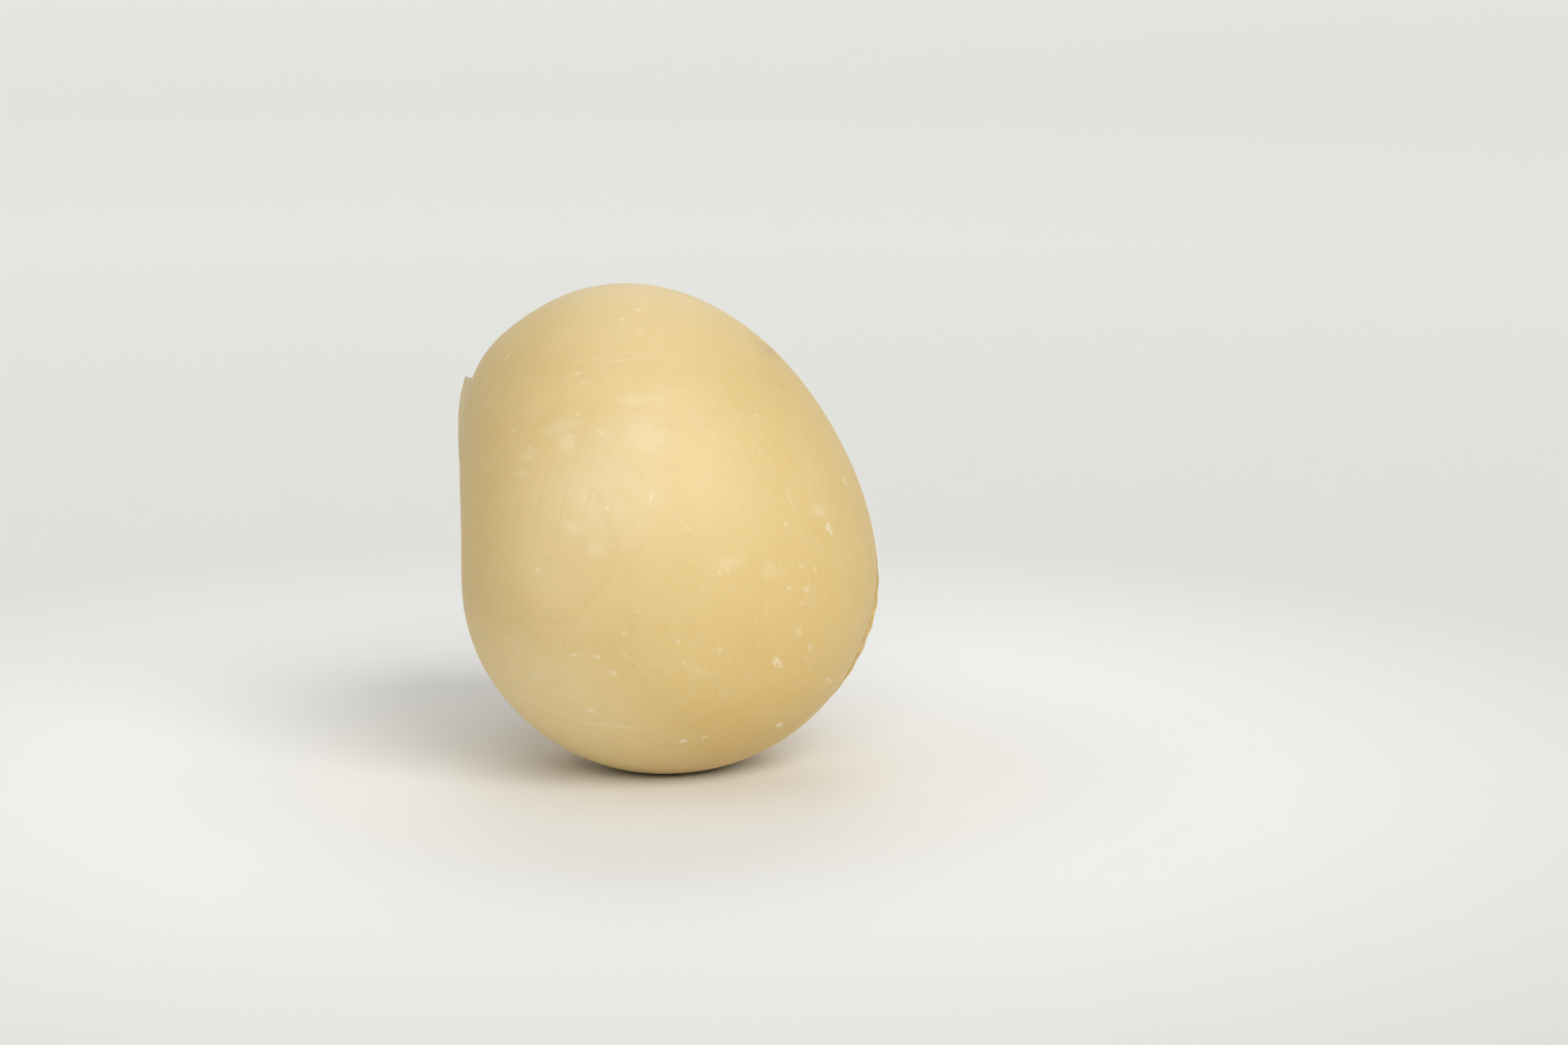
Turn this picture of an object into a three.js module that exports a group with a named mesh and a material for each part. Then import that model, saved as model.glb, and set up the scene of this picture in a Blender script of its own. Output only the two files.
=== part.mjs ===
// A truffle caciotta: one ball of smooth, kneaded paste, shaped and closed by hand.
//
// Millimetres and degrees, +Z up, with the cheese's front towards -Y. It stands on the small flat that its
// own weight gave it, with its long axis leaning to the left. The closing fold of the paste runs round
// behind it, and the fold's two ends come forward as thin lips at the upper left and the lower right.
//
// A direction from the middle of the ball is given by two angles: clock, seen from the front, from +X
// towards +Z, and fromFront, away from the front.

import * as THREE from 'three';
import { mergeVertices } from 'three/addons/utils/BufferGeometryUtils.js';

// The egg-shaped body
const HALF_WIDTH = 59;
const HALF_DEPTH = 57.5;
const HALF_HEIGHT = 70;
const LEAN = 15; // how far the top of the long axis tips towards -X
const TAPER = 0.05; // share by which the top is slimmer, and the foot fuller, than the middle
const FOOT_FLATTENED = 1.5; // how far the round foot has settled

// Where the paste was pushed in or, with a negative depth, swells. Spread is the angle at which it fades out.
const PRESSES = [
  { name: 'left flank', clock: 175.5, fromFront: 90, spread: 37, depth: 4.6 },
  { name: 'hollow of that flank', clock: 179, fromFront: 90, spread: 20, depth: 3.1 },
  { name: 'belly at the low right', clock: -24, fromFront: 90, spread: 36, depth: -4.5 },
  { name: 'shoulder at the upper left', clock: 134, fromFront: 90, spread: 12, depth: -2.1 },
  { name: 'hollow under the right lip', clock: -30, fromFront: 85, spread: 15, depth: 0.8 },
  { name: 'dimple in the front', clock: 187, fromFront: 24, spread: 11, depth: 0.8 },
  { name: 'pinch that closes the back', clock: 0, fromFront: 180, spread: 8, depth: 3.5 },
];

// The closing fold's edge: how far round from the front it runs where its ends come forward, how much
// further back it runs between them, and how far its plane tips back at the top
const FOLD_FRONT = 86.5;
const FOLD_SETBACK = 24;
const FOLD_TILT = 7;
const FOLD_CLOCK = 152; // one end comes forward here, the other opposite

// The left lip is a tongue: square-ended and thick at the top, thinning to nothing below
const TONGUE = { from: 140.7, to: 172, thickness: 3.9, thinning: 1.8 };
// The right lip is a tuck with a scalloped edge
const TUCK = { from: -43, to: -6, thickness: 1.3, scallop: 0.6, scallopPitch: 5.5 };
const CREASE_DEPTH = 0.5; // groove along the foot of either lip
const CREASE_WIDTH = 1.1; // its width before the lip, as an angle
const LIP_SLOPE = 32; // the angle at which the lip's wall rises from the skin
const LIP_ROUND = 1.2; // the angle in which the top of the lip is rounded over
const WALL_SHARE = 0.8; // share of the lip's thickness that is wall, the rest being rounded
const WALL_GAP = 0.25; // the wall's angle where there is no lip

// Behind the lips the paste thins away and was twisted shut, with soft pleats that run into the pinch
const LIP_FADE = 1.5; // power by which the lips thin out towards the pinch
const TWIST = 55; // the angle that the twist has turned at the pinch
const TWIST_ONSET = 1.5; // power by which it sets in behind the lips
const PLEATS = 6;
const PLEAT_DEPTH = 0.55;
const PLEAT_REACH = 13; // the angle from the pinch at which they are deepest

// The grid of vertices: rings from the front to the back, and columns round the clock
const FRONT_RINGS = 24;
const BACK_RINGS = 20;
const CREASE_RING = FRONT_RINGS + 1;
const WALL_RING = FRONT_RINGS + 2;
const CROWN_RING = FRONT_RINGS + 3;
const LAST_RING = CROWN_RING + BACK_RINGS;
const COLUMN_STEP = 5;
const LIP_COLUMN_STEP = 1.5;
const TONGUE_END_STEP = 0.5;

const PASTE = { color: 0xe8cf97, roughness: 0.45, metalness: 0 };

const { degToRad, radToDeg, clamp, smoothstep } = THREE.MathUtils;
const UP = new THREE.Vector3(0, 0, 1);

function direction(clock, fromFront) {
  const c = degToRad(clock);
  const f = degToRad(fromFront);
  return new THREE.Vector3(Math.sin(f) * Math.cos(c), -Math.cos(f), Math.sin(f) * Math.sin(c));
}

// Distance from the middle to the leaning, tapered egg
function eggRadius(towards) {
  const upright = towards.clone().applyAxisAngle(new THREE.Vector3(0, 1, 0), degToRad(LEAN));
  const girth = 1 - TAPER * upright.dot(UP);
  const x = upright.x / (HALF_WIDTH * girth);
  const y = upright.y / (HALF_DEPTH * girth);
  const z = upright.z / HALF_HEIGHT;
  return 1 / Math.hypot(x, y, z);
}

function bodyRadius(towards) {
  let radius = eggRadius(towards);
  for (const { clock, fromFront, spread, depth } of PRESSES) {
    const away = radToDeg(towards.angleTo(direction(clock, fromFront)));
    radius -= depth * Math.exp(-((away / spread) ** 2));
  }
  return radius;
}

// Angle from the front at which the fold's edge runs
function foldEdge(clock) {
  const between = (1 - Math.cos(2 * degToRad(clock - FOLD_CLOCK))) / 2;
  return FOLD_FRONT + FOLD_SETBACK * between + FOLD_TILT * Math.sin(degToRad(clock));
}

function tongueThickness(clock) {
  if (clock < TONGUE.from || clock > TONGUE.to) return 0;
  const along = (clock - TONGUE.from) / (TONGUE.to - TONGUE.from);
  return TONGUE.thickness * (1 - along) ** TONGUE.thinning;
}

function tuckThickness(clock) {
  const along = clamp((clock - TUCK.from) / (TUCK.to - TUCK.from), 0, 1);
  const scallops = Math.abs(Math.sin((Math.PI * (clock - TUCK.from)) / TUCK.scallopPitch));
  return Math.sin(Math.PI * along) * (TUCK.thickness - TUCK.scallop * (1 - scallops));
}

function lipThickness(clock) {
  return tongueThickness(clock) + tuckThickness(clock);
}

// The angle from the front in which a lip's sloping wall rises
function wallSpan(thickness) {
  return radToDeg((WALL_SHARE * thickness) / Math.tan(degToRad(LIP_SLOPE)) / HALF_WIDTH);
}

function pleatRise(clock, fromBack) {
  const reach = fromBack / PLEAT_REACH;
  const uneven = PLEATS * degToRad(clock) + Math.sin(2 * degToRad(clock));
  return PLEAT_DEPTH * Math.cos(uneven) * reach * Math.exp(1 - reach);
}

// Where a column's vertex on a ring lies: its angle from the front, its turn round the clock from where the
// column starts, and its rise above the body
function ringPlace(ring, clock) {
  const edge = foldEdge(clock);
  const thickness = lipThickness(clock);
  if (ring <= FRONT_RINGS) {
    return { fromFront: (ring / FRONT_RINGS) * (edge - CREASE_WIDTH), turn: 0, rise: 0 };
  }
  if (ring === CREASE_RING) {
    const groove = CREASE_DEPTH * smoothstep(thickness, 0, CREASE_DEPTH);
    return { fromFront: edge, turn: 0, rise: -groove };
  }
  const wallTop = edge + wallSpan(thickness) + WALL_GAP;
  if (ring === WALL_RING) {
    return { fromFront: wallTop, turn: 0, rise: WALL_SHARE * thickness };
  }
  const crown = wallTop + LIP_ROUND;
  const backwards = (ring - CROWN_RING) / BACK_RINGS;
  const fromFront = crown + backwards * (180 - crown);
  const rise = thickness * (1 - backwards) ** LIP_FADE + pleatRise(clock, 180 - fromFront);
  return { fromFront, turn: TWIST * backwards ** TWIST_ONSET, rise };
}

function skinPoint(ring, clock) {
  const { fromFront, turn, rise } = ringPlace(ring, clock);
  const towards = direction(clock + turn, fromFront);
  return towards.multiplyScalar(bodyRadius(towards) + rise);
}

// Clock angles of the columns, closer together along the lips and at the tongue's square end
function columnClocks() {
  const clocks = [];
  for (let clock = TUCK.from; clock < TUCK.from + 360; ) {
    clocks.push(clock);
    const onLip = clock < TUCK.to || (clock > TONGUE.from && clock < TONGUE.to);
    clock += onLip ? LIP_COLUMN_STEP : COLUMN_STEP;
  }
  clocks.push(TONGUE.from - TONGUE_END_STEP, TONGUE.from);
  return clocks.sort((a, b) => a - b);
}

function cheeseGeometry() {
  const clocks = columnClocks();
  const geometry = new THREE.SphereGeometry(1, clocks.length, LAST_RING);
  const positions = geometry.attributes.position;
  for (let i = 0; i < positions.count; i++) {
    const ring = Math.floor(i / (clocks.length + 1));
    const clock = clocks[i % (clocks.length + 1) % clocks.length];
    positions.setXYZ(i, ...skinPoint(ring, clock));
  }
  geometry.computeBoundingBox();
  const floor = geometry.boundingBox.min.z + FOOT_FLATTENED;
  for (let i = 0; i < positions.count; i++) {
    positions.setZ(i, Math.max(positions.getZ(i), floor));
  }
  geometry.deleteAttribute('normal');
  geometry.deleteAttribute('uv');
  const closed = mergeVertices(geometry);
  closed.computeVertexNormals();
  return closed;
}

function caciotta() {
  const mesh = new THREE.Mesh(cheeseGeometry(), new THREE.MeshStandardMaterial(PASTE));
  mesh.name = 'caciotta';
  mesh.geometry.computeBoundingBox();
  const box = mesh.geometry.boundingBox;
  const middle = box.getCenter(new THREE.Vector3());
  mesh.position.set(-middle.x, -middle.y, -box.min.z);
  return mesh;
}

const cheese = new THREE.Group();
cheese.name = 'truffle_caciotta';
cheese.add(caciotta());

export default cheese;
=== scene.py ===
"""A truffle caciotta: its waxy rind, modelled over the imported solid, on white paper in soft light."""

import math
from typing import NamedTuple

import bpy
import numpy as np
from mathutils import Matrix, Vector
from mathutils.kdtree import KDTree
from mathutils.noise import noise_vector


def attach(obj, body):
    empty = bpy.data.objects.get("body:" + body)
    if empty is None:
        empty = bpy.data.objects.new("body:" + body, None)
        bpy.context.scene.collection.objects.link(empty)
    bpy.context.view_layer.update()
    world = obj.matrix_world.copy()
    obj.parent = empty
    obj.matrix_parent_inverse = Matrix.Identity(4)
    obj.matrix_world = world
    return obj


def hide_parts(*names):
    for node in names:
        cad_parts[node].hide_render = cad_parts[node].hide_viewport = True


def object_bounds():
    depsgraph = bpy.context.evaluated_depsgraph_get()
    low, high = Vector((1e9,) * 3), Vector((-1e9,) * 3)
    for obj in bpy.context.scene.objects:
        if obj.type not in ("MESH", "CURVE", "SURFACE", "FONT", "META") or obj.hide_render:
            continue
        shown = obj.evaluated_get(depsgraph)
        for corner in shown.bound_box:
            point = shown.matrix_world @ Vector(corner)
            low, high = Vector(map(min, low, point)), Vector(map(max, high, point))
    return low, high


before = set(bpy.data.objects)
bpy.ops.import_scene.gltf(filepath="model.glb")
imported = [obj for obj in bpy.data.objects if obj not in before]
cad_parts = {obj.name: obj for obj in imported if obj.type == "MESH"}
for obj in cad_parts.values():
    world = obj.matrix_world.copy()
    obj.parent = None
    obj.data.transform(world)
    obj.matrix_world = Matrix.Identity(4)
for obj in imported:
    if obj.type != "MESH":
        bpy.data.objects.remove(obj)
cad_low, cad_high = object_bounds()

MM = 0.001
middle = (cad_low + cad_high) / 2
half_size = (cad_high - cad_low) / 2

# The photograph, in its own pixels, and the camera that took it
PHOTO_WIDTH = 1920
PHOTO_HEIGHT = 1280
LENS_MM = 85
SENSOR_MM = 36
MM_PER_PIXEL = 0.2293          # at the cheese
CAMERA_ELEVATION = 10          # degrees above the floor
MIDDLE_PIXEL = (819, 645)      # where the middle of the cheese's box shows

FOCAL_PIXELS = LENS_MM / SENSOR_MM * PHOTO_WIDTH
CAMERA_DISTANCE = FOCAL_PIXELS * MM_PER_PIXEL * MM
tip = math.radians(CAMERA_ELEVATION)
camera_right = Vector((1, 0, 0))
camera_back = Vector((0, -math.cos(tip), math.sin(tip)))
camera_up = camera_back.cross(camera_right)
camera_place = (
    middle
    + camera_back * CAMERA_DISTANCE
    + camera_right * (PHOTO_WIDTH / 2 - MIDDLE_PIXEL[0]) * MM_PER_PIXEL * MM
    + camera_up * (MIDDLE_PIXEL[1] - PHOTO_HEIGHT / 2) * MM_PER_PIXEL * MM
)


# The marks on the rind, placed by the photograph's pixels, their sizes in millimetres

class Mark(NamedTuple):
    """An oval mark: its middle in pixels, its half sizes in millimetres, its tilt in degrees clockwise."""
    x: float
    y: float
    half_length: float
    half_width: float
    tilt: float = 0
    strength: float = 1


# Pale blooms where the paste was rubbed or has dried
BLOOMS = [
    Mark(757, 536, 8.5, 4.6, -8, 0.4),
    Mark(790, 533, 6.5, 5.2, 30, 0.65),
    Mark(787, 489, 6.8, 1.5, -10, 0.55),
    Mark(690, 522, 5.6, 1.8, -14, 0.5),
    Mark(695, 540, 2.1, 1.9, 0, 0.8),
    Mark(646, 559, 2.1, 1.6, -20, 0.5),
    Mark(637, 580, 1.9, 1.0, 0, 0.5),
    Mark(714, 607, 2.3, 1.4, 30, 0.7),
    Mark(701, 646, 4.4, 1.7, 35, 0.6),
    Mark(730, 671, 2.8, 1.5, 30, 0.7),
    Mark(856, 818, 3.6, 1.6, 30, 0.25),
    Mark(889, 691, 3.2, 1.2, -10, 0.6),
    Mark(945, 699, 2.4, 1.8, 0, 0.3),
    Mark(1005, 625, 2.1, 2.1, 0, 0.65),
    Mark(631, 794, 3.4, 1.2, 55, 0.4),
    Mark(660, 828, 1.6, 1.4, 0, 0.3),
    Mark(744, 600, 13, 14, 0, 0.5),
]
# Nearly white chips and flecks
FLECKS = [
    Mark(1014, 646, 1.2, 0.7, 70, 0.5),
    Mark(1018, 652, 0.9, 0.5, 70, 0.4),
    Mark(952, 812, 1.5, 1.2, 60, 0.4),
    Mark(981, 693, 0.9, 0.5, 30, 0.22),
    Mark(998, 696, 0.7, 0.4, 80, 0.22),
    Mark(979, 774, 1.1, 0.6, 80, 0.2),
    Mark(992, 793, 0.9, 0.6, 80, 0.2),
    Mark(987, 806, 0.8, 0.5, 40, 0.2),
    Mark(988, 722, 1.0, 0.8, 0, 0.22),
    Mark(966, 720, 0.6, 0.5, 0, 0.2),
    Mark(982, 739, 0.7, 0.5, 60, 0.2),
    Mark(882, 702, 0.9, 0.4, 20, 0.3),
    Mark(963, 643, 0.8, 0.4, 50, 0.3),
    Mark(743, 622, 0.9, 0.5, 35, 0.5),
    Mark(731, 804, 1.1, 0.6, 5, 0.35),
    Mark(751, 825, 1.0, 0.9, 0, 0.3),
    Mark(703, 802, 1.1, 0.4, 10, 0.45),
    Mark(722, 870, 1.4, 0.5, 30, 0.4),
    Mark(764, 775, 0.8, 0.7, 0, 0.2),
    Mark(658, 699, 0.8, 0.4, 50, 0.4),
    Mark(767, 803, 0.6, 0.5, 0, 0.2),
    Mark(830, 785, 0.7, 0.6, 0, 0.3),
    Mark(837, 812, 0.7, 0.6, 0, 0.2),
    Mark(780, 749, 0.6, 0.5, 0, 0.2),
    Mark(797, 610, 0.8, 0.5, 70, 0.35),
    Mark(783, 645, 1.3, 0.3, 80, 0.25),
    Mark(707, 507, 0.9, 0.3, 35, 0.3),
    Mark(735, 529, 1.0, 0.6, 15, 0.2),
    Mark(723, 556, 0.6, 0.4, 0, 0.15),
    Mark(629, 526, 0.8, 0.4, -30, 0.25),
    Mark(628, 547, 1.2, 0.3, -65, 0.2),
    Mark(652, 617, 0.6, 0.5, 0, 0.2),
    Mark(622, 437, 1.3, 0.4, -40, 0.25),
    Mark(708, 458, 1.1, 0.5, -15, 0.25),
    Mark(715, 468, 0.8, 0.4, -10, 0.25),
    Mark(783, 379, 1.2, 0.4, -10, 0.4),
    Mark(762, 392, 0.8, 0.4, 0, 0.4),
    Mark(783, 405, 1.2, 0.5, 0, 0.2),
    Mark(882, 796, 0.7, 0.5, 0, 0.2),
    Mark(926, 510, 1.0, 0.5, 20, 0.25),
    Mark(1035, 589, 1.2, 0.4, 65, 0.35),
    Mark(837, 908, 1.3, 0.4, -10, 0.55),
    Mark(862, 903, 0.9, 0.4, -15, 0.4),
    Mark(954, 888, 0.9, 0.5, -30, 0.65),
    Mark(1015, 833, 0.9, 0.5, 40, 0.25),
    Mark(1022, 843, 0.9, 0.4, -20, 0.15),
]
# Crumbs of black truffle that show through the rind
SPECK_RADIUS = 0.25
TRUFFLE_SPECKS = [
    Mark(x, y, SPECK_RADIUS, SPECK_RADIUS)
    for x, y in [
        (672, 684), (658, 783), (815, 770), (775, 815), (690, 788), (587, 578),
        (607, 624), (843, 655), (815, 427), (734, 432), (834, 474), (958, 471),
    ]
]
# Where the rind was scuffed by many fine scratches
SCUFFS = [
    Mark(660, 835, 18, 10, 32),
    Mark(735, 443, 14, 4, 0, 0.7),
    Mark(840, 505, 15, 7, 28, 0.8),
    Mark(990, 570, 9, 14, 60, 0.6),
    Mark(752, 889, 9, 2, 5, 0.8),
    Mark(780, 660, 5, 9, 80, 0.6),
]
# A faint dark smudge on the right shoulder
SMUDGES = [
    Mark(942, 429, 1.6, 0.8, 42, 0.3),
    Mark(938, 428, 4.5, 1.8, 40, 0.12),
]
# A pale film over the front and top: partly uneven tone, partly painted highlight and sheen where the light
# falls most
FILMS_AND_SHEEN = [
    Mark(800, 600, 50, 40, 0, 0.75),
    Mark(770, 400, 46, 20, 0, 0.85),
    Mark(765, 480, 40, 14, 0, 0.8),
    Mark(670, 480, 24, 18, -40, 0.6),
    Mark(695, 650, 22, 38, 0, 0.9),
    Mark(690, 865, 32, 18, 36, 1),
    Mark(800, 800, 30, 16, 0, 0.45),
]

# Lines are points in pixels, each with how strongly the line shows there
# Hair-thin wrinkles in the front, stained by whey
WRINKLES = [
    [(689, 534, 0.3), (676, 560, 0.7), (665, 595, 0.8), (660, 620, 0.6), (657, 652, 0.2)],
    [(719, 526, 0.2), (708, 556, 0.7), (698, 580, 0.6), (691, 606, 1), (688, 627, 1), (681, 664, 0.2)],
    [(736, 604, 0.5), (727, 597, 1), (723, 605, 1), (714, 638, 0.8), (711, 655, 0.3), (709, 686, 0.1)],
    [(668, 515, 0.1), (653, 552, 0.3), (642, 590, 0.3), (633, 625, 0.3), (628, 670, 0.1)],
    [(737, 565, 0.8), (737, 578, 0.4)],
    [(709, 569, 0.3), (723, 583, 0.5)],
    [(693, 632, 0.4), (713, 643, 0.5)],
    [(694, 618, 0.3), (706, 627, 0.3)],
]
WRINKLE_DEPTH = 0.012
WRINKLE_HALF_WIDTH = 0.3
VALLEY_DEPTH = 0.06            # the soft hollow that each wrinkle lies in
VALLEY_HALF_WIDTH = 2.2
# The edge of the skin that was smoothed down round them
SMOOTHED_EDGE = [
    (728, 598, 0.2), (737, 604, 0.3), (746, 622, 0.5), (753, 655, 0.5), (756, 681, 0.6), (754, 699, 0.5),
    (739, 722, 1), (723, 737, 0.8), (711, 753, 0.7), (697, 765, 1), (674, 765, 0.8), (652, 757, 0.7),
    (633, 746, 0.3),
]
STEP_DEPTH = 0.05              # how far the skin inside that edge lies below it
STEP_RUN = 2                   # how far in the step fades out
STEP_HALF_WIDTH = 0.7
# Pale scratches
SCRATCHES = [
    [(716, 886, 0.8), (745, 888, 0.6), (756, 890, 1), (783, 892, 0.9)],
    [(725, 446, 0.3), (770, 440, 0.5), (812, 436, 0.3)],
    [(738, 441, 0.2), (760, 434, 0.3), (790, 431, 0.2)],
    [(827, 628, 0.6), (845, 652, 0.4)],
    [(641, 798, 0.4), (667, 814, 0.5)],
    [(667, 810, 0.3), (690, 821, 0.4), (711, 831, 0.4)],
    [(648, 808, 0.3), (683, 827, 0.3)],
    [(660, 835, 0.2), (700, 857, 0.3)],
    [(920, 540, 0.3), (936, 556, 0.4), (945, 567, 0.3)],
    [(962, 600, 0.3), (972, 622, 0.4)],
    [(898, 540, 0.2), (915, 562, 0.3)],
    [(845, 512, 0.3), (880, 540, 0.4)],
]
SCRATCH_HALF_WIDTH = 0.25
# Dark lines where the fold's lips leave the skin: partly dirt, partly painted shade in the crease
CREASES = [
    [(577, 464, 1), (573, 480, 0.8), (568, 497, 1), (564, 520, 0.8), (564, 550, 0.4), (563, 597, 0.6)],
    [(1070, 690, 0.4), (1071, 715, 0.6), (1069, 742, 0.3), (1065, 766, 0.5), (1057, 795, 0.9),
     (1049, 810, 0.6)],
]
CREASE_HALF_WIDTH = 0.24
CREASE_REACH = 0.8             # how far from the real groove that dark line lies
LIP_REACH = 0.3                # and how far from a lip's wall the dark paint in a groove lies
PINCH_DIRT_AND_SHADE = 0.5               # how dark the pinch is painted, dirt and painted shade, as a share of the fold
RIGHT_LIP_SHADE = 0.5           # and how much painted shade the right lip's wall gets


def linear(hex_colour):
    """An sRGB hex colour as linear red, green, blue and alpha."""
    shares = [int(hex_colour[i:i + 2], 16) / 255 for i in (1, 3, 5)]
    return (*[s / 12.92 if s <= 0.04045 else ((s + 0.055) / 1.055) ** 2.4 for s in shares], 1)


def fill(tree, filled, inputs):
    """Fills a node's inputs with values or with other nodes' outputs."""
    for socket, value in inputs.items():
        if isinstance(value, bpy.types.NodeSocket):
            tree.links.new(value, filled.inputs[socket])
        else:
            filled.inputs[socket].default_value = value


def node(tree, kind, inputs=None, **settings):
    """Adds a node with its settings and fills its inputs."""
    added = tree.nodes.new(kind)
    for name, value in settings.items():
        setattr(added, name, value)
    fill(tree, added, inputs or {})
    return added


def select_only(piece):
    """Leaves one piece selected, for the operators to act on."""
    bpy.ops.object.select_all(action="DESELECT")
    piece.select_set(True)
    bpy.context.view_layer.objects.active = piece


def finish_with(piece, kind, **settings):
    """Gives a piece a modifier and applies it."""
    select_only(piece)
    modifier = piece.modifiers.new(kind.title(), kind)
    for name, value in settings.items():
        setattr(modifier, name, value)
    bpy.ops.object.modifier_apply(modifier=modifier.name)


# Places on the rind

CORNER_ROUNDS = 2              # how often a line's corners are cut, to make it a curve
CORNER_CUT = 0.25              # share of each stretch that a cut takes off at either end


def fade(values, start, end):
    """0 at start and before it, 1 at end and past it, and smooth between them."""
    share = np.clip((values - start) / (end - start), 0, 1)
    return share * share * (3 - 2 * share)


def vertex_values(piece, kind):
    """The places, "co", or the normals, "normal", of all vertices, with a row for each."""
    values = np.empty(len(piece.data.vertices) * 3, np.float32)
    piece.data.vertices.foreach_get(kind, values)
    return values.reshape(-1, 3).astype(float)


def photo_pixels(points):
    """Where points show in the photograph, in its pixels."""
    away = points - np.array(camera_place)
    depth = -(away @ np.array(camera_back))
    across = FOCAL_PIXELS * (away @ np.array(camera_right)) / depth
    up = FOCAL_PIXELS * (away @ np.array(camera_up)) / depth
    return np.column_stack([PHOTO_WIDTH / 2 + across, PHOTO_HEIGHT / 2 - up])


def facing_camera(points, normals):
    """How far the surface at each point faces the photograph's camera, from 1, square on, to -1, away."""
    towards = np.array(camera_place) - points
    return (towards * normals).sum(1) / np.linalg.norm(towards, axis=1)


def reach_in(pixels, mark):
    """How far out in a mark each place lies: 0 in its middle, 1 at its rim, and more outside it."""
    across, down = ((pixels - (mark.x, mark.y)) * MM_PER_PIXEL).T
    turn = math.radians(mark.tilt)
    along = across * math.cos(turn) + down * math.sin(turn)
    beside = down * math.cos(turn) - across * math.sin(turn)
    return np.hypot(along / mark.half_length, beside / mark.half_width)


def inside_marks(pixels, marks, hard):
    """How strongly each place lies in any of the marks. Up to the share hard of its size a mark is full."""
    shown = np.zeros(len(pixels))
    for mark in marks:
        inside = 1 - fade(reach_in(pixels, mark), hard, 2 - hard)
        shown = np.maximum(shown, mark.strength * inside)
    return shown


def rounded(line):
    """A line of points with its corners cut, so that it runs as a curve."""
    points = np.array(line, float)
    for _ in range(CORNER_ROUNDS):
        cut = CORNER_CUT * (points[1:] - points[:-1])
        corners = np.stack([points[:-1] + cut, points[1:] - cut], 1).reshape(-1, points.shape[1])
        points = np.vstack([points[:1], corners, points[-1:]])
    return points


def beside_line(pixels, line):
    """Each place's distance from a line in millimetres, below zero to its left, and how it shows there."""
    points = rounded(line)
    nearest = np.full(len(pixels), np.inf)
    signed = np.full(len(pixels), np.inf)
    shows = np.zeros(len(pixels))
    for start, end in zip(points, points[1:]):
        run = (end - start)[:2]
        share = np.clip(((pixels - start[:2]) @ run) / (run @ run), 0, 1)
        off = pixels - start[:2] - share[:, None] * run
        gap = np.hypot(*off.T)
        nearer = gap < nearest
        nearest[nearer] = gap[nearer]
        signed[nearer] = np.copysign(gap, run[0] * off[:, 1] - run[1] * off[:, 0])[nearer]
        shows[nearer] = (start[2] + share * (end[2] - start[2]))[nearer]
    return signed * MM_PER_PIXEL, shows


def along_lines(pixels, lines, half_width):
    """How strongly each place lies on any of the lines."""
    shown = np.zeros(len(pixels))
    for line in lines:
        gap, shows = beside_line(pixels, line)
        shown = np.maximum(shown, shows * np.exp(-(gap / half_width) ** 2))
    return shown


# The rind's mesh

MERGE_DISTANCE = 0.001 * MM
FLAT_ENOUGH = math.radians(60)     # two triangles of the solid that bend less than this,
SQUARE_ENOUGH = math.radians(80)   # and whose corners are nearer to square than this, become one face
SHARP = math.radians(20)       # edges of the solid this sharp stay crisp when it is rounded off
SHARP_CREASE = 1
ROUNDING_LEVELS = 2
GRID_CUTS = 75                 # cuts along each edge of the cube that the rind starts from
PRESS_ON_MARGIN = 1.2          # the egg starts this much larger than the box, to lie outside the cheese
FOLD_BEND = 0.065              # where the rind bends by this much, in 1 / mm, it is folded
FINE_CUTS = 4                  # cuts in faces that hold a fold or a mark
FINE_MARGIN = 0.8              # how far round a mark, in millimetres, faces are cut fine
SMALL = 1.9                    # half the width, in millimetres, below which a mark needs fine faces
HILL_SIZE = 17 * MM            # size of the rind's soft hills and hollows
HILL_HEIGHT = 0.18 * MM
RAGGED_SIZE = 4 * MM           # size of the bays in a bloom's edge
RAGGED_BY = 1.2 * MM
CHIPPED_SIZE = 1 * MM          # and in a fleck's
CHIPPED_BY = 0.35 * MM
GROOVE_BEND = (0.1, 0.45)      # a bend in 1 / mm from which, and at which fully, a groove is painted dark, partly dirt and partly painted shade
EDGE_HIGHLIGHT_BEND = (0.2, 0.8)         # and an edge is painted paler, a painted highlight
LIP_SLOPES = (22, 30)          # slopes in degrees from which, and at which fully, the skin is a lip's wall
PINCH_REACH = (18, 12)         # angles from straight back at which the lips end in the pinch
MARKS_FACING = (0, 0.1)        # how far the rind faces the camera where marks start to show, and show fully
FILM_AND_SHEEN_FACING = (-0.5, 0.1)      # the film and its painted sheen run on round the edge
UNSEEN_FACING = (0.25, -0.1)   # and beyond it strewn marks take over
PRESENT = 0.5                  # a thing is there where it shows more strongly than this
FAINTEST = 0.001               # and doesn't show at all where it is weaker than this


def smooth_form():
    """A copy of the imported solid, merged into one skin and rounded off, for the rind to be pressed on to."""
    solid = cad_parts["caciotta"]
    form = bpy.data.objects.new("caciotta_form", solid.data.copy())
    bpy.context.scene.collection.objects.link(form)
    select_only(form)
    bpy.ops.object.mode_set(mode="EDIT")
    bpy.ops.mesh.select_all(action="SELECT")
    bpy.ops.mesh.remove_doubles(threshold=MERGE_DISTANCE)
    bpy.ops.mesh.tris_convert_to_quads(face_threshold=FLAT_ENOUGH, shape_threshold=SQUARE_ENOUGH)
    bpy.ops.mesh.select_all(action="DESELECT")
    bpy.ops.mesh.edges_select_sharp(sharpness=SHARP)
    bpy.ops.transform.edge_crease(value=SHARP_CREASE)
    bpy.ops.object.mode_set(mode="OBJECT")
    finish_with(form, "SUBSURF", levels=ROUNDING_LEVELS, render_levels=ROUNDING_LEVELS)
    return form


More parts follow.
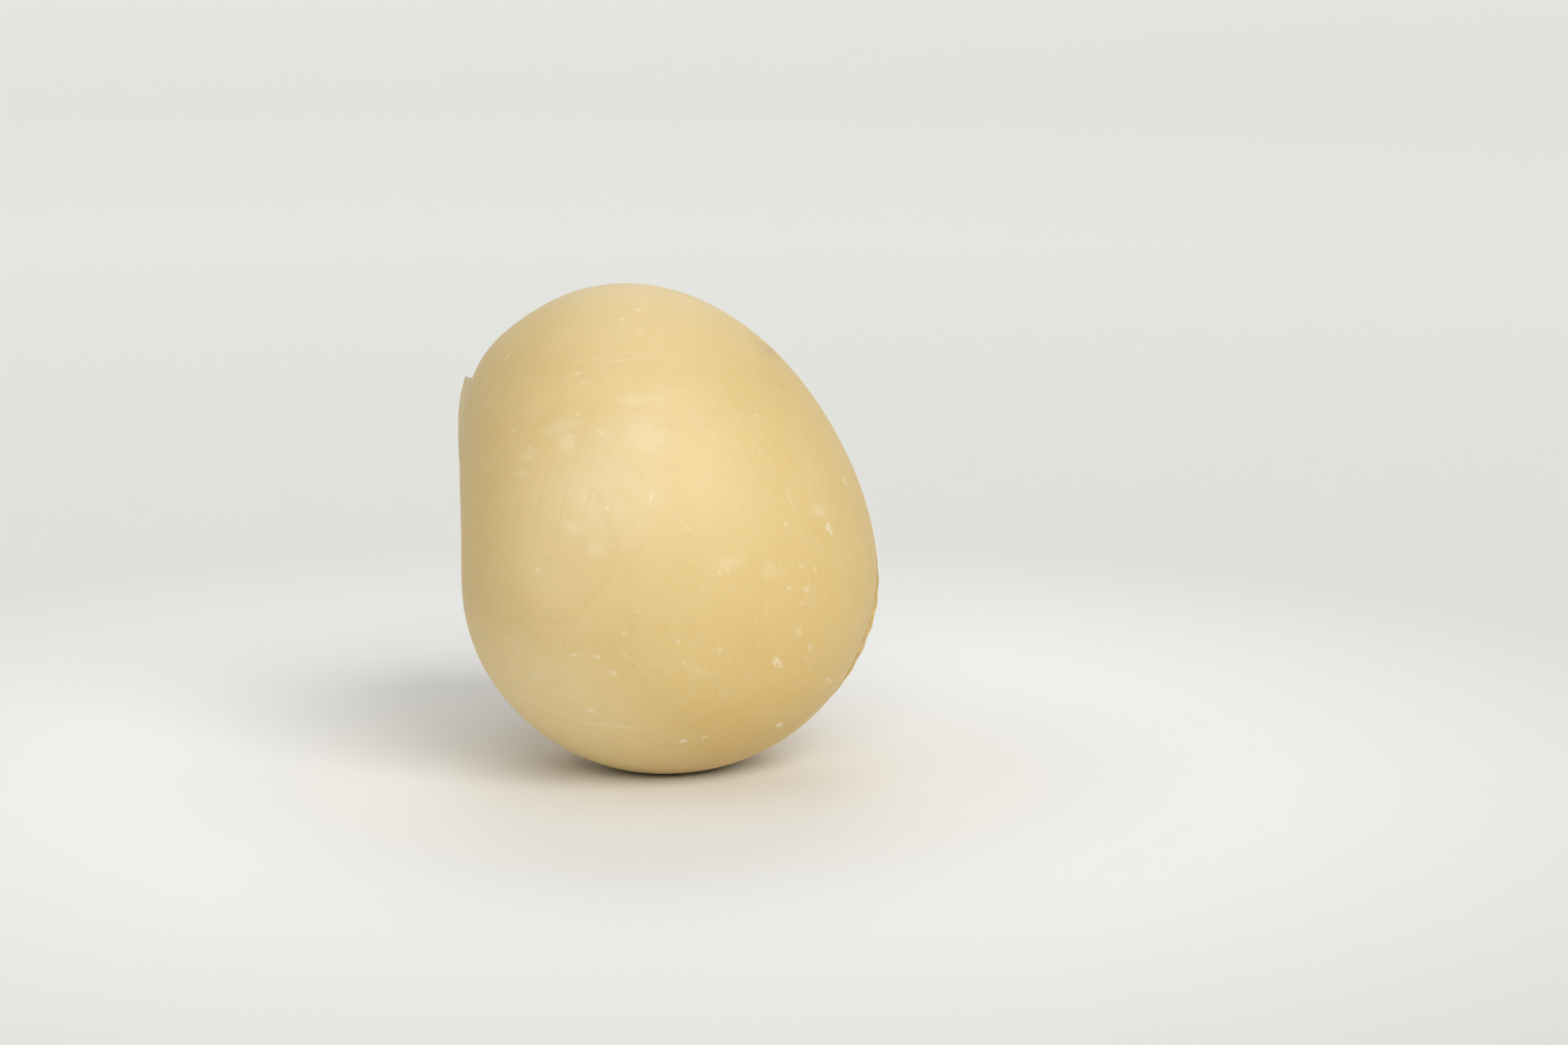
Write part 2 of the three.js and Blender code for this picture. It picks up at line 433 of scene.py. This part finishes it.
def even_egg():
    """A cube cut into a fine grid and blown up to an egg, which has even faces all over and no poles."""
    bpy.ops.object.select_all(action="DESELECT")
    bpy.ops.mesh.primitive_cube_add(size=2, location=middle)
    egg = bpy.context.object
    bpy.ops.object.mode_set(mode="EDIT")
    bpy.ops.mesh.select_all(action="SELECT")
    bpy.ops.mesh.subdivide(number_cuts=GRID_CUTS)
    bpy.ops.transform.tosphere(value=1)
    bpy.ops.object.mode_set(mode="OBJECT")
    radius = egg.data.vertices[0].co.length
    egg.scale = half_size * (PRESS_ON_MARGIN / radius)
    bpy.ops.object.transform_apply(location=True, rotation=True, scale=True)
    return egg


def press_on(egg, form):
    """Moves an egg straight in or out, on to the form."""
    finish_with(egg, "SHRINKWRAP", target=form, wrap_method="PROJECT",
                use_negative_direction=True, use_positive_direction=True)


def curvature(rind):
    """How sharply the rind bends at each vertex, in 1 / mm: above zero in a groove, below it on an edge."""
    points = vertex_values(rind, "co")
    normals = vertex_values(rind, "normal")
    ends = np.empty(len(rind.data.edges) * 2, np.int32)
    rind.data.edges.foreach_get("vertices", ends)
    ends = np.vstack([ends.reshape(-1, 2), ends.reshape(-1, 2)[:, ::-1]])
    towards = points[ends[:, 1]] - points[ends[:, 0]]
    rise = (towards * normals[ends[:, 0]]).sum(1)
    bend = 2 * rise / (towards ** 2).sum(1) * MM
    total = np.bincount(ends[:, 0], bend, len(points))
    return total / np.bincount(ends[:, 0], minlength=len(points))


def folded_faces(rind):
    """Which faces lie on a lip, in a crease or on a pleat."""
    bends = np.abs(curvature(rind))
    return np.array([bends[face.vertices].max() > FOLD_BEND for face in rind.data.polygons])


def marked_faces(rind):
    """Which faces show a mark that is too small for the even grid."""
    centres = np.array([face.center for face in rind.data.polygons])
    normals = np.array([face.normal for face in rind.data.polygons])
    pixels = photo_pixels(centres)
    marked = np.zeros(len(centres), bool)
    for mark in [*BLOOMS, *FLECKS, *SMUDGES, *TRUFFLE_SPECKS]:
        if mark.half_width < SMALL:
            wider = mark._replace(half_length=mark.half_length + FINE_MARGIN,
                                  half_width=mark.half_width + FINE_MARGIN)
            marked |= reach_in(pixels, wider) < 1
    for line in [*WRINKLES, *SCRATCHES, *CREASES, SMOOTHED_EDGE]:
        marked |= np.abs(beside_line(pixels, line)[0]) < FINE_MARGIN
    return marked & (facing_camera(centres, normals) > 0)


def cut_finer(rind, chosen):
    """Cuts chosen faces into smaller ones."""
    select_only(rind)
    bpy.ops.object.mode_set(mode="EDIT")
    bpy.ops.mesh.select_mode(type="FACE")
    bpy.ops.mesh.select_all(action="DESELECT")
    bpy.ops.object.mode_set(mode="OBJECT")
    rind.data.polygons.foreach_set("select", chosen)
    bpy.ops.object.mode_set(mode="EDIT")
    bpy.ops.mesh.subdivide(number_cuts=FINE_CUTS)
    bpy.ops.object.mode_set(mode="OBJECT")


def pressed_rind():
    """An egg pressed on to the form, with its faces cut finer where a first try found folds and marks."""
    form = smooth_form()
    first_try = even_egg()
    press_on(first_try, form)
    detailed = folded_faces(first_try) | marked_faces(first_try)
    bpy.data.objects.remove(first_try)
    rind = even_egg()
    rind.name = "rind"
    cut_finer(rind, detailed)
    press_on(rind, form)
    bpy.data.objects.remove(form)
    return rind


def paint(rind, name, values):
    """Keeps a value for each vertex, for the material to read."""
    attribute = rind.data.attributes.new(name, "FLOAT", "POINT")
    attribute.data.foreach_set("value", values.astype(np.float32))


def lips_and_pinch(rind):
    """Where the skin stands up from the egg's round form as a lip's wall, and where it is pinched shut."""
    outwards = (vertex_values(rind, "co") - np.array(middle)) / np.array(half_size) ** 2
    outwards /= np.linalg.norm(outwards, axis=1)[:, None]
    along = (outwards * vertex_values(rind, "normal")).sum(1)
    steep = fade(np.degrees(np.arccos(np.clip(along, -1, 1))), *LIP_SLOPES)
    pinch = fade(np.degrees(np.arccos(np.clip(outwards[:, 1], -1, 1))), *PINCH_REACH)
    return steep * (1 - pinch), pinch


def close_to(points, shown, others, reach):
    """What is shown at each point, kept only within a reach in millimetres of another thing."""
    there = np.flatnonzero(others > PRESENT)
    nearest = KDTree(len(there))
    for index in there:
        nearest.insert(points[index], index)
    nearest.balance()
    kept = shown.copy()
    for index in np.flatnonzero(shown > FAINTEST):
        gap = nearest.find(points[index])[2]
        kept[index] *= 1 - fade(gap / MM, reach, 2 * reach)
    return kept


def dirt_and_shade_lines(rind, grooves, lips, pinch):
    """Where the rind is painted dark, partly dirt and partly painted shade: along the left fold back to the
    pinch, on the right lip's wall as painted shade, and in the creases.
    """
    points = vertex_values(rind, "co")
    front = facing_camera(points, vertex_values(rind, "normal")) > 0
    on_right = points[:, 0] > middle.x
    fold = np.where(on_right, close_to(points, grooves, lips, LIP_REACH), grooves) * (1 - pinch)
    # the right lip's wall gets painted shade
    held = np.maximum(fold + grooves * pinch * PINCH_DIRT_AND_SHADE, lips * on_right * RIGHT_LIP_SHADE)
    creases = along_lines(photo_pixels(points), CREASES, CREASE_HALF_WIDTH) * front
    return np.maximum(held, close_to(points, creases, grooves, CREASE_REACH))


def paint_folds(rind):
    """Paints the fold's grooves dark, partly dirt and partly painted shade, a painted highlight on its edges,
    and the dried wall of the left lip.
    """
    bend = curvature(rind)
    lips, pinch = lips_and_pinch(rind)
    on_left = vertex_values(rind, "co")[:, 0] < middle.x
    # grooves painted dark: partly dirt, partly painted shade
    paint(rind, "dirt_and_shade", dirt_and_shade_lines(rind, fade(bend, *GROOVE_BEND), lips, pinch))
    # convex edges painted paler: a painted highlight
    paint(rind, "edge", fade(-bend, *EDGE_HIGHLIGHT_BEND))
    paint(rind, "lip", lips * on_left)


def press_in(rind, name, weights, depth):
    """Moves the rind inwards by a depth in millimetres times each vertex's weight."""
    group = rind.vertex_groups.new(name=name)
    for index in np.flatnonzero(weights > FAINTEST):
        group.add([int(index)], float(weights[index]), "REPLACE")
    finish_with(rind, "DISPLACE", vertex_group=name, strength=-depth * MM, mid_level=0)
    rind.vertex_groups.remove(rind.vertex_groups[name])


def press_wrinkles(rind):
    """Presses the wrinkles, their soft valleys and the step at the smoothed edge into the front."""
    points = vertex_values(rind, "co")
    pixels = photo_pixels(points)
    front = facing_camera(points, vertex_values(rind, "normal")) > 0
    cracks = along_lines(pixels, WRINKLES, WRINKLE_HALF_WIDTH) * front
    valleys = along_lines(pixels, WRINKLES, VALLEY_HALF_WIDTH) * front
    gap, shows = beside_line(pixels, SMOOTHED_EDGE)
    inside = fade(gap, -STEP_HALF_WIDTH, STEP_HALF_WIDTH) * front
    step = inside * np.exp(-np.maximum(gap, 0) / STEP_RUN) * shows
    press_in(rind, "wrinkles", cracks, WRINKLE_DEPTH)
    press_in(rind, "valleys", valleys, VALLEY_DEPTH)
    press_in(rind, "smoothed_edge", step, STEP_DEPTH)
    paint(rind, "wrinkle", cracks)
    paint(rind, "stain", step)


def strayed(points, size, by):
    """Points moved by a noise, so that a mark drawn at them gets a ragged edge."""
    return points + by * np.array([noise_vector(Vector(point) / size) for point in points])


def paint_marks(rind):
    """Paints the photograph's marks on the side that it shows, and where strewn ones take over."""
    points = vertex_values(rind, "co")
    facing = facing_camera(points, vertex_values(rind, "normal"))
    front = fade(facing, *MARKS_FACING)
    pixels = photo_pixels(points)
    ragged = photo_pixels(strayed(points, RAGGED_SIZE, RAGGED_BY))
    chipped = photo_pixels(strayed(points, CHIPPED_SIZE, CHIPPED_BY))
    # Each kind's name, where it is drawn, its marks, up to which share of its size a mark is full, and where
    # it may show
    kinds = [
        ("bloom", ragged, BLOOMS, 0.3, front),
        ("fleck", chipped, FLECKS, 0.6, front),
        ("speck", pixels, TRUFFLE_SPECKS, 0.7, front),
        ("scuff", pixels, SCUFFS, 0.3, front),
        ("smudge", pixels, SMUDGES, 0.2, front),
        # the pale film: partly painted highlight and sheen on the lit front and top
        ("film_and_sheen", pixels, FILMS_AND_SHEEN, 0.1, fade(facing, *FILM_AND_SHEEN_FACING)),
    ]
    for name, drawn_at, marks, hard, seen in kinds:
        paint(rind, name, inside_marks(drawn_at, marks, hard) * seen)
    paint(rind, "scratch", along_lines(pixels, SCRATCHES, SCRATCH_HALF_WIDTH) * front)
    paint(rind, "unseen", fade(facing, *UNSEEN_FACING))


def rind_mesh():
    """The rind with its fold, hills, wrinkles and marks."""
    rind = pressed_rind()
    paint_folds(rind)
    hills = bpy.data.textures.new("rind_hills", "CLOUDS")
    hills.noise_scale = HILL_SIZE
    finish_with(rind, "DISPLACE", texture=hills, texture_coords="LOCAL", strength=HILL_HEIGHT)
    press_wrinkles(rind)
    paint_marks(rind)
    select_only(rind)
    bpy.ops.object.shade_smooth()
    return rind


# The rind's material

STRAW = "#D6B671"              # bare rind
FILM_AND_SHEEN = "#E8CF96"               # rind under a thin pale film, also the painted highlight and sheen of the lit front
# pale blooms, also the painted highlight on convex edges
BLOOM_AND_HIGHLIGHT = "#F2E6C6"
FLECK = "#F8F4E4"
DRY = "#E6D9B2"                # paste that dried at the fold's edge
OCHRE = "#B98A45"              # whey that dried in wrinkles
TRUFFLE = "#3B3024"
# dark brown of dirt and the smudge, also the painted shade in grooves and creases
DIRT_AND_SHADE = "#6B5638"

FILM_AND_SHEEN_SHOWS = 1                 # how strongly each of these shows where it is painted
LIP_SHOWS = 0.6
EDGE_HIGHLIGHT_SHOWS = 0.25
SCRATCH_SHOWS = 0.28
STAIN_SHOWS = 0.14
WRINKLE_SHOWS = 0.11
SPECK_SHOWS = 0.2


class Patches(NamedTuple):
    """Uneven patches: their size and fineness, the noise where they start and are full, their strength."""
    size: float
    fineness: float
    start: float
    full: float
    strength: float = 1


GRAIN_SIZE = 0.9 * MM
GRAIN_FINENESS = 2
STREWN_FILM = Patches(38 * MM, 2, 0.1, 0.7, 0.85)
STREWN_BLOOM = Patches(13 * MM, 2, 0.58, 0.75, 0.35)
STREWN_SCUFF = Patches(38 * MM, 2, 0.45, 0.7, 0.5)
LEAST_SCUFF = 0.35             # the rind is at least this scuffed everywhere
PALE_CLOUDS = Patches(9 * MM, 3, 0.45, 0.8, 0.06)
DARK_CLOUDS = Patches(9 * MM, 3, 0.5, 0.2, 0.03)
PALE_GRAIN = Patches(GRAIN_SIZE, GRAIN_FINENESS, 0.45, 0.75, 0.06)
WORN_BLOOM = Patches(RAGGED_SIZE, 3, 0.05, 0.6, 0.55)
WORN_SMUDGE = Patches(RAGGED_SIZE, 3, 0.2, 0.6)
WORN_FLECK = Patches(GRAIN_SIZE, GRAIN_FINENESS, 0.25, 0.55)
WORN_DIRT_AND_SHADE = Patches(2.2 * MM, 3, 0.3, 0.65, 0.62)
HAIR_LINES = Patches(0.3 * MM, 2, 0.45, 0.8, 0.27)   # finer in the real skin, drawn wide enough to show
HAIR_STRETCH = 20              # a hair line is this many times as long as it is wide


class Dots(NamedTuple):
    """Strewn round dots: their spacing, the smallest and the largest radius, and their strength."""
    spacing: float
    smallest: float
    largest: float
    strength: float = 1


STREWN_FLECKS = Dots(6 * MM, 0.2 * MM, 0.7 * MM, 0.4)
STREWN_SPECKS = Dots(8.4 * MM, SPECK_RADIUS * MM, SPECK_RADIUS * MM)
DASHES = Dots(2.4 * MM, 0.05 * MM, 0.24 * MM, 0.6)   # dots drawn out by the strokes of the hands
DASH_STRETCH = 3.5             # a dash is this many times as long as it is wide
DOT_RIM = 1.1                  # share of its radius where a dot has faded out
DOT_CORE = 0.6                 # and up to which it is full
FAINT_POWER = 2                # power by which most dots are faint and only a few are strong

KNEAD_MIDDLE = (-13.5 * MM, 0, 67.8 * MM)   # the hands stroked round an axis near here, front to back
BALL_RADIUS = 62 * MM
STRAY_SIZE = 25 * MM           # in patches of this size the strokes
STRAY = 12 * MM                # stray by up to half of this

GLOSSY = 0.48                  # roughness of the rubbed rind
DULL = 0.65                    # and of blooms and dashes
BUMP_HEIGHT = 0.04 * MM
BUMP_STRENGTH = 0.6
LIGHT_IN_PASTE = {             # fat and wax, which red light enters furthest
    "IOR": 1.45,
    "Subsurface Weight": 0.35,
    "Subsurface Radius": (1.0, 0.55, 0.25),
    "Subsurface Scale": 1.5 * MM,
}

MIX_FACTOR, MIX_UNDER, MIX_OVER, MIX_COLOUR = 0, 6, 7, 2   # sockets of a Mix node that mixes colours


def patches(tree, place, kind):
    """How strongly uneven patches of one kind show at each place."""
    inputs = {"Vector": place, "Scale": 1 / kind.size, "Detail": kind.fineness}
    noise = node(tree, "ShaderNodeTexNoise", inputs).outputs["Fac"]
    inputs = {"Value": noise, "From Min": kind.start, "From Max": kind.full, "To Max": kind.strength}
    return node(tree, "ShaderNodeMapRange", inputs, interpolation_type="SMOOTHSTEP").outputs[0]


def dots(tree, place, kind):
    """How strongly strewn dots of one kind show at each place."""
    cells = node(tree, "ShaderNodeTexVoronoi", {"Vector": place, "Scale": 1 / kind.spacing})
    chance = node(tree, "ShaderNodeSeparateColor", {0: cells.outputs["Color"]}).outputs["Red"]
    inputs = {"Value": chance, "To Min": kind.smallest / kind.spacing, "To Max": kind.largest / kind.spacing}
    radius = node(tree, "ShaderNodeMapRange", inputs).outputs[0]
    inputs = {0: cells.outputs["Distance"], 1: radius}
    share = node(tree, "ShaderNodeMath", inputs, operation="DIVIDE").outputs[0]
    inputs = {"Value": share, "From Min": DOT_RIM, "From Max": DOT_CORE, "To Max": kind.strength}
    dot = node(tree, "ShaderNodeMapRange", inputs, interpolation_type="SMOOTHSTEP").outputs[0]
    shows = node(tree, "ShaderNodeMath", {0: chance, 1: FAINT_POWER}, operation="POWER").outputs[0]
    return node(tree, "ShaderNodeMath", {0: dot, 1: shows}, operation="MULTIPLY").outputs[0]


def stroked(tree, place, stretch):
    """Places on the rind as the way along the skin from its front, and the way round it made shorter."""
    inputs = {"Vector": place, "Scale": 1 / STRAY_SIZE, "Detail": 1}
    wander = node(tree, "ShaderNodeTexNoise", inputs).outputs["Color"]
    inputs = {0: place, 1: KNEAD_MIDDLE}
    centred = node(tree, "ShaderNodeVectorMath", inputs, operation="SUBTRACT").outputs[0]
    inputs = {0: wander, 1: (STRAY, STRAY, STRAY), 2: centred}
    centred = node(tree, "ShaderNodeVectorMath", inputs, operation="MULTIPLY_ADD").outputs[0]
    flat = node(tree, "ShaderNodeVectorMath", {0: centred, 1: (1, 0, 1)}, operation="MULTIPLY").outputs[0]
    out = node(tree, "ShaderNodeVectorMath", {0: flat}, operation="LENGTH").outputs["Value"]
    back = node(tree, "ShaderNodeSeparateXYZ", {0: centred}).outputs["Y"]
    front = node(tree, "ShaderNodeMath", {0: back, 1: -1}, operation="MULTIPLY").outputs[0]
    angle = node(tree, "ShaderNodeMath", {0: out, 1: front}, operation="ARCTAN2").outputs[0]
    along = node(tree, "ShaderNodeMath", {0: angle, 1: BALL_RADIUS}, operation="MULTIPLY").outputs[0]
    way = node(tree, "ShaderNodeVectorMath", {0: flat}, operation="NORMALIZE").outputs[0]
    inputs = {0: way, "Scale": BALL_RADIUS / stretch}
    round_it = node(tree, "ShaderNodeVectorMath", inputs, operation="SCALE").outputs[0]
    rise = node(tree, "ShaderNodeCombineXYZ", {"Y": along}).outputs[0]
    return node(tree, "ShaderNodeVectorMath", {0: round_it, 1: rise}, operation="ADD").outputs[0]


def layer(tree, name, share, strewn=None):
    """How strongly a layer shows: where it is painted or, on the unseen sides, strewn, times a share."""
    shows = node(tree, "ShaderNodeAttribute", attribute_name=name).outputs["Fac"]
    if strewn is not None:
        unseen = node(tree, "ShaderNodeAttribute", attribute_name="unseen").outputs["Fac"]
        elsewhere = node(tree, "ShaderNodeMath", {0: strewn, 1: unseen}, operation="MULTIPLY").outputs[0]
        shows = node(tree, "ShaderNodeMath", {0: shows, 1: elsewhere}, operation="MAXIMUM").outputs[0]
    return node(tree, "ShaderNodeMath", {0: shows, 1: share}, operation="MULTIPLY").outputs[0]


def strokes(tree, place):
    """How strongly the hair lines that the hands left show, and their dashes and scratches."""
    painted = node(tree, "ShaderNodeAttribute", attribute_name="scuff").outputs["Fac"]
    inputs = {0: painted, 1: patches(tree, place, STREWN_SCUFF)}
    scuffed = node(tree, "ShaderNodeMath", inputs, operation="MAXIMUM").outputs[0]
    scuffed = node(tree, "ShaderNodeMath", {0: scuffed, 1: LEAST_SCUFF}, operation="MAXIMUM").outputs[0]
    lines = patches(tree, stroked(tree, place, HAIR_STRETCH), HAIR_LINES)
    hair = node(tree, "ShaderNodeMath", {0: lines, 1: scuffed}, operation="MULTIPLY").outputs[0]
    dashes = dots(tree, stroked(tree, place, DASH_STRETCH), DASHES)
    dashes = node(tree, "ShaderNodeMath", {0: dashes, 1: scuffed}, operation="MULTIPLY").outputs[0]
    inputs = {0: dashes, 1: layer(tree, "scratch", SCRATCH_SHOWS)}
    return hair, node(tree, "ShaderNodeMath", inputs, operation="MAXIMUM").outputs[0]


def layered(tree, colour, layers):
    """A colour under layers of others, each as strong as it shows."""
    for shows, over in layers:
        inputs = {MIX_FACTOR: shows, MIX_UNDER: colour, MIX_OVER: linear(over)}
        colour = node(tree, "ShaderNodeMix", inputs, data_type="RGBA").outputs[MIX_COLOUR]
    return colour


def relief(tree, place, fleck, dash):
    """Normals of the rind's fine grain, with the flecks standing out and the dashes scratched in."""
    inputs = {"Vector": place, "Scale": 1 / GRAIN_SIZE, "Detail": GRAIN_FINENESS}
    grain = node(tree, "ShaderNodeTexNoise", inputs).outputs["Fac"]
    rise = node(tree, "ShaderNodeMath", {0: grain, 1: fleck}, operation="ADD").outputs[0]
    rise = node(tree, "ShaderNodeMath", {0: rise, 1: dash}, operation="SUBTRACT").outputs[0]
    inputs = {"Height": rise, "Distance": BUMP_HEIGHT, "Strength": BUMP_STRENGTH}
    return node(tree, "ShaderNodeBump", inputs).outputs["Normal"]


def rind_material():
    """Waxy cheese rind, rubbed smooth by hand: satin, slightly see-through, straw with ivory blooms."""
    material = bpy.data.materials.new("waxy_caciotta_rind")
    material.use_nodes = True
    tree = material.node_tree
    place = node(tree, "ShaderNodeTexCoord").outputs["Object"]

    bloom = layer(tree, "bloom", patches(tree, place, WORN_BLOOM), patches(tree, place, STREWN_BLOOM))
    fleck = layer(tree, "fleck", patches(tree, place, WORN_FLECK), dots(tree, place, STREWN_FLECKS))
    hair, dash = strokes(tree, place)
    layers = [
        # the pale film: partly painted highlight and sheen where the light falls most
        (layer(tree, "film_and_sheen", FILM_AND_SHEEN_SHOWS, patches(tree, place, STREWN_FILM)), FILM_AND_SHEEN),
        (patches(tree, place, PALE_CLOUDS), BLOOM_AND_HIGHLIGHT),
        (patches(tree, place, DARK_CLOUDS), OCHRE),
        (patches(tree, place, PALE_GRAIN), BLOOM_AND_HIGHLIGHT),
        (bloom, BLOOM_AND_HIGHLIGHT),
        (layer(tree, "lip", LIP_SHOWS), DRY),
        # convex edges: a painted highlight
        (layer(tree, "edge", EDGE_HIGHLIGHT_SHOWS), BLOOM_AND_HIGHLIGHT),
        (hair, FLECK),
        (dash, FLECK),
        (fleck, FLECK),
        (layer(tree, "stain", STAIN_SHOWS), OCHRE),
        (layer(tree, "wrinkle", WRINKLE_SHOWS), OCHRE),
        (layer(tree, "speck", SPECK_SHOWS, dots(tree, place, STREWN_SPECKS)), TRUFFLE),
        (layer(tree, "smudge", patches(tree, place, WORN_SMUDGE)), DIRT_AND_SHADE),
        # grooves and creases painted dark: partly dirt, partly painted shade
        (layer(tree, "dirt_and_shade", patches(tree, place, WORN_DIRT_AND_SHADE)), DIRT_AND_SHADE),
    ]
    worn = node(tree, "ShaderNodeMath", {0: bloom, 1: dash}, operation="MAXIMUM").outputs[0]
    inputs = {"Value": worn, "To Min": GLOSSY, "To Max": DULL}
    roughness = node(tree, "ShaderNodeMapRange", inputs).outputs[0]
    fill(tree, tree.nodes["Principled BSDF"], {
        "Base Color": layered(tree, linear(STRAW), layers),
        "Roughness": roughness,
        "Normal": relief(tree, place, fleck, dash),
        **LIGHT_IN_PASTE,
    })
    return material


# The stage, lights and camera

FLOOR_RADIUS = 7.5             # where the floor starts to curve up, out of the photograph's view
FLOOR_CORNERS = 128
SWEEP_RADIUS = 1.5
SWEEP_STEPS = 12
SWEEP_HEIGHT = 2.25            # of the wall above the curve
FLOOR_PAINTED_SHADE = [                # the paper's colour at each distance in metres: a painted shadow round the cheese's foot, and painted shade as the light falls off
    (0.04, "#EEEDE9"),
    (0.16, "#FDFDFB"),
    (0.35, "#EBEBE6"),
    (1.5, "#EDEDE9"),
    (3, "#E6E6E2"),
    (6.3, "#E3E3DF"),
    (7.5, "#D6D6D2"),
]
DULL_PAPER = {"Roughness": 0.9, "Specular IOR Level": 0.1}


class Sun(NamedTuple):
    """A large soft light, placed by its angles in degrees to the right of the front and above the floor."""
    name: str
    azimuth: float
    elevation: float
    strength: float


SUNS = [
    Sun("front_light", 0, 20, 1.62),
    Sun("key_light", 35, 35, 1.75),
    Sun("left_light", -70, 15, 0.14),
    Sun("top_light", 0, 85, 0.3),
    Sun("back_light", 180, 40, 0.45),
]
SUN_WIDTH = math.radians(38)   # how wide each light looks from the cheese
SKY = {"Color": linear("#FFFFFF"), "Strength": 0.26}


def paper_material():
    """Dull white paper, with a painted shadow round the cheese's foot and painted shade that greys it further
    away.
    """
    material = bpy.data.materials.new("white_paper")
    material.use_nodes = True
    tree = material.node_tree
    place = node(tree, "ShaderNodeTexCoord").outputs["Object"]
    distance = node(tree, "ShaderNodeVectorMath", {0: place}, operation="LENGTH").outputs["Value"]
    share = node(tree, "ShaderNodeMath", {0: distance, 1: FLOOR_RADIUS}, operation="DIVIDE").outputs[0]
    ramp = node(tree, "ShaderNodeValToRGB", {"Fac": share})
    stops = ramp.color_ramp.elements
    while len(stops) < len(FLOOR_PAINTED_SHADE):
        stops.new(1)
    for stop, (reach, tone) in zip(stops, FLOOR_PAINTED_SHADE):
        stop.position = reach / FLOOR_RADIUS
        stop.color = linear(tone)
    fill(tree, tree.nodes["Principled BSDF"], {"Base Color": ramp.outputs["Color"], **DULL_PAPER})
    return material


def floor():
    """A round paper floor whose edge curves up all round, so that no horizon shows."""
    bpy.ops.object.select_all(action="DESELECT")
    bpy.ops.mesh.primitive_circle_add(vertices=FLOOR_CORNERS, radius=FLOOR_RADIUS, fill_type="NGON")
    piece = bpy.context.object
    piece.name = "floor"
    bpy.ops.object.mode_set(mode="EDIT")
    bpy.ops.mesh.select_all(action="SELECT")
    bpy.ops.mesh.region_to_loop()
    radius, height = FLOOR_RADIUS, 0
    for step in range(1, SWEEP_STEPS + 1):
        turn = math.pi / 2 * step / SWEEP_STEPS
        wider = FLOOR_RADIUS + SWEEP_RADIUS * math.sin(turn)
        higher = SWEEP_RADIUS * (1 - math.cos(turn))
        bpy.ops.mesh.extrude_edges_move(TRANSFORM_OT_translate={"value": (0, 0, higher - height)})
        bpy.ops.transform.resize(value=(wider / radius, wider / radius, 1))
        radius, height = wider, higher
    bpy.ops.mesh.extrude_edges_move(TRANSFORM_OT_translate={"value": (0, 0, SWEEP_HEIGHT)})
    bpy.ops.object.mode_set(mode="OBJECT")
    bpy.ops.object.shade_smooth()
    piece.data.materials.append(paper_material())


def lights():
    """Soft suns round the cheese and a weak white sky."""
    for sun in SUNS:
        turn = (math.radians(90 - sun.elevation), 0, math.radians(sun.azimuth))
        bpy.ops.object.light_add(type="SUN", rotation=turn)
        light = bpy.context.object
        light.name = sun.name
        light.data.energy = sun.strength
        light.data.angle = SUN_WIDTH
    world = bpy.data.worlds.new("white_studio")
    world.use_nodes = True
    fill(world.node_tree, world.node_tree.nodes["Background"], SKY)
    bpy.context.scene.world = world
    bpy.context.scene.view_settings.view_transform = "Standard"


def camera():
    """The photograph's camera."""
    bpy.ops.object.camera_add(location=camera_place, rotation=(math.pi / 2 - tip, 0, 0))
    view = bpy.context.object
    view.data.lens = LENS_MM
    view.data.sensor_width = SENSOR_MM
    bpy.context.scene.camera = view


rind = rind_mesh()
rind.data.materials.append(rind_material())
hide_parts("caciotta")
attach(rind, "root")
floor()
lights()
camera()
